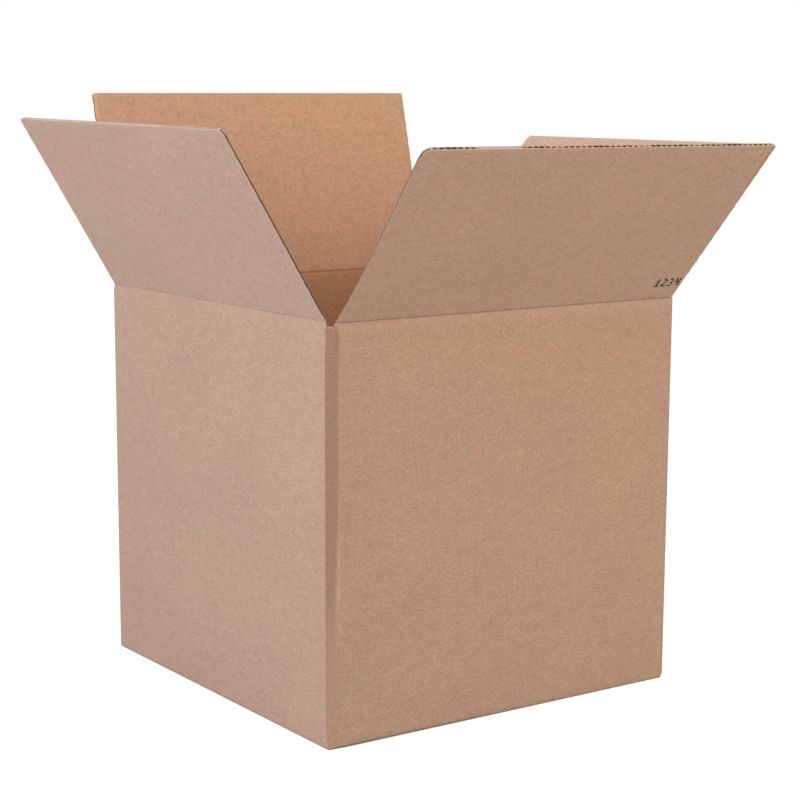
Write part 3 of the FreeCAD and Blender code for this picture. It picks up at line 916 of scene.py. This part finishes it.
def kraft(name, colour, grain, darkening_and_shade_colour, flute_relief):
    """Unbleached liner: mottled pulp, fibres, specks, creases and rubs with painted shade and a
    painted highlight, and a trace of the flutes.
    """
    nodes = Nodes(name)
    sheet = nodes.attribute("sheet", "Vector")
    pulp = nodes.noise(sheet, (2.8, 2.8, 0.6), 3.0, 0.65)
    fibre = nodes.noise(sheet, (6.0, 1.4, 0.6), 2.0, 0.6)
    cloud = nodes.noise(sheet, (14.0, 11.0, 2.0), 3.0, 0.6)
    drift = nodes.noise(sheet, (120.0, 90.0, 8.0), 2.0, 0.5)
    value = nodes.math("MULTIPLY", pulp, 0.50)
    for part, share in ((fibre, 0.24), (cloud, 0.18), (drift, 0.08)):
        value = nodes.math("ADD", value, nodes.math("MULTIPLY", part, share))
    stops = [
        (0.5 - 0.5 * grain, tone(colour, 0.60)),
        (0.5, colour),
        (0.5 + 0.5 * grain, tone(colour, 1.40)),
    ]
    base = nodes.ramp(value, stops)
    hue = nodes.noise(sheet, (9.0, 8.0, 1.0), 2.0, 0.55)
    tints = nodes.ramp(hue, [(0.32, (0.95, 1.03, 0.98)), (0.68, (1.05, 0.97, 1.0))])
    tinted = nodes.mix(1.0, base, tints, "MULTIPLY")
    speck = nodes.noise(sheet, (1.1, 0.9, 0.5), 1.0, 0.5)
    speck_part = nodes.math("MULTIPLY", nodes.math("GREATER_THAN", speck, 0.74), 0.35)
    base = nodes.mix(speck_part, tinted, (*tone(colour, 0.55), 1.0))
    # Darker towards the crease colour: creases, worn marks and painted shade
    darkening_and_painted_shade = nodes.attribute("darkening_and_painted_shade")
    base = nodes.mix(darkening_and_painted_shade, base, (*darkening_and_shade_colour, 1.0))
    scrape = nodes.noise(sheet, (5.0, 2.5, 1.0), 2.0, 0.6)
    flecks = nodes.ramp(scrape, [(0.40, (0.25,) * 3), (0.58, (1.0,) * 3)])
    # Paler where rubbed, and where a highlight is painted
    rub_and_painted_highlight = nodes.math("MULTIPLY", nodes.attribute("rub_and_painted_highlight"), flecks)
    base = nodes.mix(rub_and_painted_highlight, base, (*tone(colour, 1.28), 1.0))
    nodes.feed(nodes.shader.inputs["Base Color"], base)
    roughness = nodes.math("ADD", nodes.math("MULTIPLY", pulp, 0.2), 0.72)
    nodes.feed(nodes.shader.inputs["Roughness"], roughness)
    nodes.shader.inputs["Specular IOR Level"].default_value = 0.35
    nodes.shader.inputs["Sheen Weight"].default_value = 0.12
    nodes.shader.inputs["Sheen Roughness"].default_value = 0.6
    split = nodes.new("ShaderNodeSeparateXYZ")
    nodes.feed(split.inputs[0], sheet)
    wave = nodes.math("SINE", nodes.math("MULTIPLY", split.outputs[0], 2 * math.pi / FLUTE_PITCH))
    height = nodes.math("MULTIPLY", wave, flute_relief)
    for part, share in ((pulp, 0.10), (fibre, 0.05)):
        height = nodes.math("ADD", height, nodes.math("MULTIPLY", part, share))
    relief = nodes.new("ShaderNodeBump")
    relief.inputs["Strength"].default_value = 1.0
    relief.inputs["Distance"].default_value = MM
    nodes.feed(relief.inputs["Height"], height)
    nodes.feed(nodes.shader.inputs["Normal"], relief.outputs[0])
    return nodes.material


def cut_paper(name, colour):
    """The raw ends of the papers, or what is seen of the hollow between them."""
    nodes = Nodes(name)
    sheet = nodes.attribute("sheet", "Vector")
    fuzz = nodes.noise(sheet, (0.8, 0.8, 0.4), 3.0, 0.7)
    base = nodes.ramp(fuzz, [(0.3, tone(colour, 0.75)), (0.7, tone(colour, 1.25))])
    nodes.feed(nodes.shader.inputs["Base Color"], base)
    nodes.shader.inputs["Roughness"].default_value = 0.95
    nodes.shader.inputs["Specular IOR Level"].default_value = 0.2
    return nodes.material


def ink(name):
    nodes = Nodes(name)
    soak = nodes.noise(nodes.millimetres(), (1.2, 1.2, 1.2), 3.0, 0.6)
    base = nodes.ramp(soak, [(0.35, (0.010, 0.008, 0.007)), (0.7, (0.05, 0.036, 0.028))])
    nodes.feed(nodes.shader.inputs["Base Color"], base)
    nodes.shader.inputs["Roughness"].default_value = 0.8
    return nodes.material


def dried_glue(name):
    nodes = Nodes(name)
    lump = nodes.noise(nodes.millimetres(), (6.0, 6.0, 6.0), 3.0, 0.6)
    base = nodes.ramp(lump, [(0.3, (0.62, 0.55, 0.42)), (0.7, (0.78, 0.72, 0.60))])
    nodes.feed(nodes.shader.inputs["Base Color"], base)
    roughness = nodes.math("ADD", nodes.math("MULTIPLY", lump, 0.3), 0.3)
    nodes.feed(nodes.shader.inputs["Roughness"], roughness)
    return nodes.material


# The liners: colour, grain, colour of its creases and painted shade, and height of the flutes'
# trace
LINERS = {
    "kraft_outside": ((0.478, 0.299, 0.217), 0.46, (0.25, 0.132, 0.078), 0.012),
    "kraft_inside": ((0.611, 0.351, 0.231), 0.56, (0.28, 0.115, 0.05), 0.020),
    # A lighter copy of the inside for the right flap: painted light
    "kraft_inside_painted_light": ((0.75, 0.485, 0.355), 0.56, (0.24, 0.13, 0.07), 0.020),
    # A darker, warmer copy of the inside for the walls inside the box: painted shade
    "kraft_inner_walls_painted_shade": ((0.570, 0.300, 0.172), 0.52, (0.20, 0.10, 0.05), 0.020),
}

# The cut edges, in the order of CUT, HOLLOW and GROOVE; the hollow's dark brown is painted shade
CUT_EDGES = {
    "cut_edge": (0.64, 0.48, 0.39),
    "flute_hollow_painted_shade": (0.21, 0.115, 0.065),
    "side_groove": (0.40, 0.26, 0.175),
}


# ---- Floor, light and camera ----


# The floor's half side and reach of its contact shadow in metres, its grey for the object and for
# the camera, and how strongly it glows for the camera between a contact and the open
FLOOR_HALF = 12.0
CONTACT_REACH = 10.0 * MM
FLOOR_PLAIN, FLOOR_SHADED = (0.68,) * 3, (0.30,) * 3
CONTACT_RANGE, GLOW_RANGE = (0.22, 0.46), (0.08, 0.88)


def make_floor():
    mesh = bpy.data.meshes.new("floor")
    corners = [(-1, -1), (1, -1), (1, 1), (-1, 1)]
    spots = [(x * FLOOR_HALF, y * FLOOR_HALF, 0.0) for x, y in corners]
    mesh.from_pydata(spots, [], [(0, 1, 2, 3)])
    nodes = Nodes("white_floor")
    tree = nodes.tree
    tree.nodes.remove(nodes.shader)
    path = nodes.new("ShaderNodeLightPath")
    seen = nodes.math("MAXIMUM", path.outputs["Is Camera Ray"], path.outputs["Is Glossy Ray"])
    seen = nodes.math("MAXIMUM", seen, path.outputs["Is Transmission Ray"])
    plain = nodes.new("ShaderNodeBsdfDiffuse")
    plain.inputs["Color"].default_value = (*FLOOR_PLAIN, 1.0)
    shaded = nodes.new("ShaderNodeBsdfDiffuse")
    shaded.inputs["Color"].default_value = (*FLOOR_SHADED, 1.0)
    glow = nodes.new("ShaderNodeEmission")
    near = nodes.new("ShaderNodeAmbientOcclusion")
    near.inputs["Distance"].default_value = CONTACT_REACH
    contact = nodes.new("ShaderNodeMapRange")
    labels = ("From Min", "From Max", "To Min", "To Max")
    for label, value in zip(labels, CONTACT_RANGE + GLOW_RANGE):
        contact.inputs[label].default_value = value
    nodes.feed(contact.inputs["Value"], near.outputs["AO"])
    nodes.feed(glow.inputs["Strength"], contact.outputs["Result"])
    both = nodes.new("ShaderNodeAddShader")
    nodes.feed(both.inputs[0], shaded.outputs[0])
    nodes.feed(both.inputs[1], glow.outputs[0])
    choice = nodes.new("ShaderNodeMixShader")
    nodes.feed(choice.inputs[0], seen)
    nodes.feed(choice.inputs[1], plain.outputs[0])
    nodes.feed(choice.inputs[2], both.outputs[0])
    nodes.feed(tree.nodes["Material Output"].inputs["Surface"], choice.outputs[0])
    mesh.materials.append(nodes.material)
    floor = add_object("floor", mesh)


WORLD_COLOUR = (1.0, 0.98, 0.95)
WORLD_STRENGTH = 0.42


def make_world():
    """Soft light from all round, which the camera, gloss and glass see as plain white."""
    world = bpy.data.worlds.new("studio")
    world.use_nodes = True
    bpy.context.scene.world = world
    tree = world.node_tree
    soft = tree.nodes["Background"]
    soft.inputs["Color"].default_value = (*WORLD_COLOUR, 1.0)
    soft.inputs["Strength"].default_value = WORLD_STRENGTH
    white = tree.nodes.new("ShaderNodeBackground")
    white.inputs["Color"].default_value = (1.0, 1.0, 1.0, 1.0)
    white.inputs["Strength"].default_value = 1.0
    path = tree.nodes.new("ShaderNodeLightPath")
    seen = path.outputs["Is Camera Ray"]
    for output in ("Is Glossy Ray", "Is Transmission Ray"):
        either = tree.nodes.new("ShaderNodeMath")
        either.operation = "MAXIMUM"
        tree.links.new(seen, either.inputs[0])
        tree.links.new(path.outputs[output], either.inputs[1])
        seen = either.outputs[0]
    choice = tree.nodes.new("ShaderNodeMixShader")
    tree.links.new(seen, choice.inputs[0])
    tree.links.new(soft.outputs[0], choice.inputs[1])
    tree.links.new(white.outputs[0], choice.inputs[2])
    tree.links.new(choice.outputs[0], tree.nodes["World Output"].inputs["Surface"])


# Softboxes: name, place, point that it faces, width, height, watts, colour
LAMPS = [
    ("left_softbox", (-2.6, -0.4, 1.3), (-0.1, 0.0, 0.35), 1.8, 1.3, 50.0, (0.85, 0.90, 1.0)),
    ("right_softbox", (1.2, -2.9, 1.25), (0.0, 0.0, 0.3), 1.8, 1.4, 43.0, (1.0, 0.92, 0.70)),
    ("top_softbox", (0.2, 0.3, 2.8), (0.0, 0.0, 0.3), 2.2, 2.2, 8.0, (1.0, 0.98, 0.95)),
]


def make_lamps():
    for name, place, target, width, height, watts, colour in LAMPS:
        light = bpy.data.lights.new(name, "AREA")
        light.shape = "RECTANGLE"
        light.size, light.size_y = width, height
        light.energy = watts
        light.color = colour
        lamp = add_object(name, light)
        lamp.location = place
        way = Vector(target) - Vector(place)
        lamp.rotation_euler = way.to_track_quat("-Z", "Y").to_euler()


# The photograph's camera, in metres and radians
CAMERA_PLACE = (-1.3152, -1.9169, 0.6910)
CAMERA_YAW = math.radians(34.897)
CAMERA_PITCH = math.radians(9.038)
CAMERA_ROLL = math.radians(0.183)
FOCAL_PIXELS = 1975.8
PHOTO_PIXELS = 800
SENSOR_WIDTH = 36.0


def make_camera():
    data = bpy.data.cameras.new("camera")
    data.sensor_width = SENSOR_WIDTH
    data.lens = FOCAL_PIXELS * SENSOR_WIDTH / PHOTO_PIXELS
    ahead = Vector(
        (
            math.sin(CAMERA_YAW) * math.cos(CAMERA_PITCH),
            math.cos(CAMERA_YAW) * math.cos(CAMERA_PITCH),
            -math.sin(CAMERA_PITCH),
        )
    )
    level = Vector((math.cos(CAMERA_YAW), -math.sin(CAMERA_YAW), 0.0))
    above = level.cross(ahead)
    right = level * math.cos(CAMERA_ROLL) + above * math.sin(CAMERA_ROLL)
    up = above * math.cos(CAMERA_ROLL) - level * math.sin(CAMERA_ROLL)
    turn = Matrix((right, up, -ahead)).transposed().to_4x4()
    camera = add_object("camera", data)
    camera.matrix_world = Matrix.Translation(CAMERA_PLACE) @ turn
    bpy.context.scene.camera = camera


def main():
    bpy.context.scene.view_settings.view_transform = "Standard"
    make_camera()
    make_world()
    make_lamps()
    make_floor()
    liners = [kraft(name, *look) for name, look in LINERS.items()]
    outside, inside, painted_light_inside, painted_shade_walls = liners
    cuts = [cut_paper(name, colour) for name, colour in CUT_EDGES.items()]
    # The walls' inside is the darker copy of the inside liner: painted shade
    shell = make_shell([outside, painted_shade_walls] + cuts)
    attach(shell, "carton")
    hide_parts("box_body")
    for name in TOP_FLAPS:
        # The right flap's inside is the lighter copy of the inside liner: painted light
        make_flap(name, [outside, painted_light_inside if name == "right" else inside] + cuts)
    make_stamp(ink("stamp_ink"))
    glue = dried_glue("dried_glue")
    for node in ("seam_glue", "bottom_glue"):
        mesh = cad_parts[node].data
        mesh.materials.clear()
        mesh.materials.append(glue)


main()
